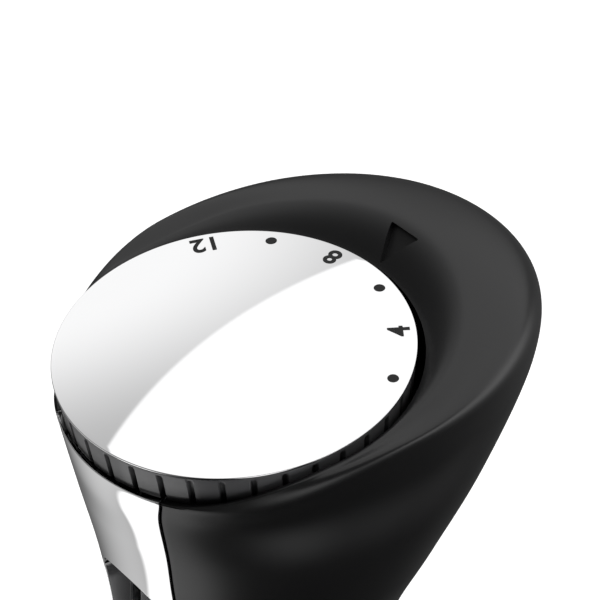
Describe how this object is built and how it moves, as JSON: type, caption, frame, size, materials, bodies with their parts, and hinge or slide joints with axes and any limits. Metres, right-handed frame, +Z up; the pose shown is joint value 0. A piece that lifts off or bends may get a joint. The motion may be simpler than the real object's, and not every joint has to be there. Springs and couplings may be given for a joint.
{
  "type": "hand blender",
  "caption": "Electric stick blender with a stepped speed dial on its tilted top, front push buttons and a plug-in steel blending foot with a bell-guarded blade.",
  "frame": {"origin": "on the shaft axis in the plane of the bell's rim, where the blender stands", "axes": "+Z up along the shaft axis, -Y towards the front panel and its buttons, +X to the right of the front"},
  "size_m": [0.072, 0.0724, 0.4005],
  "materials": {
    "soft_shell": "soft-touch coating, fine even grain",
    "polished_steel": "mirror polished",
    "satin_steel": "fine lengthwise brushing",
    "blade_steel": "ground, sharp edges",
    "turned_steel": "turned",
    "skirt_grey": "semi-gloss, notched",
    "button_grey": "semi-gloss",
    "release_grey": "satin",
    "dark_plastic": "moulded",
    "foot_black": "satin moulded",
    "coupler_plastic": "moulded",
    "ivory_plastic": "moulded",
    "blue_plastic": "moulded",
    "board_green": "coated board",
    "black_rubber": "smooth rubber",
    "carbon": "pressed carbon",
    "lamination": "stacked sheet",
    "copper_wire": "enamelled winding wire",
    "copper_bar": "turned copper segments",
    "bronze": "sintered bronze",
    "cast_aluminium": "extruded"
  },
  "bodies": {
    "handle": {"rear_shell": "soft_shell", "front_panel": "polished_steel", "button_bezel": "polished_steel", "dial_plate": "dark_plastic", "chassis": "dark_plastic", "detent_ball": "turned_steel", "detent_spring": "turned_steel", "speed_potentiometer": "blue_plastic", "button_seal": "black_rubber", "start_switch": "dark_plastic", "turbo_switch": "dark_plastic", "circuit_board": "board_green", "capacitor": "blue_plastic", "triac": "dark_plastic", "heat_sink": "cast_aluminium", "terminal_block": "ivory_plastic", "stator_core": "lamination", "field_coils": "copper_wire", "brush_holders": "dark_plastic", "carbon_brushes": "carbon", "upper_bearing": "turned_steel", "lower_bearing": "turned_steel", "upper_bracket": "dark_plastic", "lower_bracket": "dark_plastic", "motor_mount_ring": "black_rubber", "coupling_collar": "satin_steel", "latch_ring": "turned_steel", "cord_gland": "black_rubber", "cable_clamp": "dark_plastic", "collar_screws": "turned_steel"},
    "dial": {"dial_skirt": "skirt_grey", "dial_cap": "polished_steel", "dial_spindle": "turned_steel", "dial_circlip": "turned_steel"},
    "start_button": {"start_button": "button_grey"},
    "turbo_button": {"turbo_button": "button_grey"},
    "release_left": {"release_button_left": "release_grey"},
    "release_right": {"release_button_right": "release_grey"},
    "rotor": {"motor_shaft": "turned_steel", "armature_core": "lamination", "armature_winding": "copper_wire", "commutator": "copper_bar", "cooling_fan": "dark_plastic", "drive_coupling": "coupler_plastic"},
    "foot": {"foot_collar": "foot_black", "foot_seal": "black_rubber", "shaft_tube": "satin_steel", "bell_guard": "satin_steel", "upper_bush": "bronze", "lower_bush_carrier": "foot_black", "lower_bush": "bronze", "shaft_seal": "black_rubber"},
    "foot_drive": {"foot_coupler": "coupler_plastic", "drive_shaft": "turned_steel", "blade": "blade_steel", "blade_nut": "turned_steel"}
  },
  "joints": [
    {"name": "dial_turn", "type": "hinge", "parent": "handle", "child": "dial", "pos_m": [0, -0.01, 0.395], "axis": [0, -0.0976, 0.9952], "range_deg": [-60, 72]},
    {"name": "start_press", "type": "slide", "parent": "handle", "child": "start_button", "axis": [0, 1, 0], "range_m": [0, 0.0018], "stiffness_N_per_m": 400},
    {"name": "turbo_press", "type": "slide", "parent": "handle", "child": "turbo_button", "axis": [0, 1, 0], "range_m": [0, 0.0018], "stiffness_N_per_m": 400},
    {"name": "release_left_press", "type": "slide", "parent": "handle", "child": "release_left", "axis": [1, 0, 0], "range_m": [0, 0.002], "stiffness_N_per_m": 500},
    {"name": "release_right_press", "type": "slide", "parent": "handle", "child": "release_right", "axis": [-1, 0, 0], "range_m": [0, 0.002], "stiffness_N_per_m": 500},
    {"name": "rotor_spin", "type": "hinge", "parent": "handle", "child": "rotor", "pos_m": [0, 0, 0.23], "axis": [0, 0, 1], "continuous": true},
    {"name": "foot_pull", "type": "slide", "parent": "handle", "child": "foot", "axis": [0, 0, -1], "range_m": [0, 0.04]},
    {"name": "blade_spin", "type": "hinge", "parent": "foot", "child": "foot_drive", "pos_m": [0, 0, 0.1], "axis": [0, 0, 1], "continuous": true}
  ],
  "couplings": [
    {"joint": "blade_spin", "follows": "rotor_spin", "ratio": 1}
  ]
}
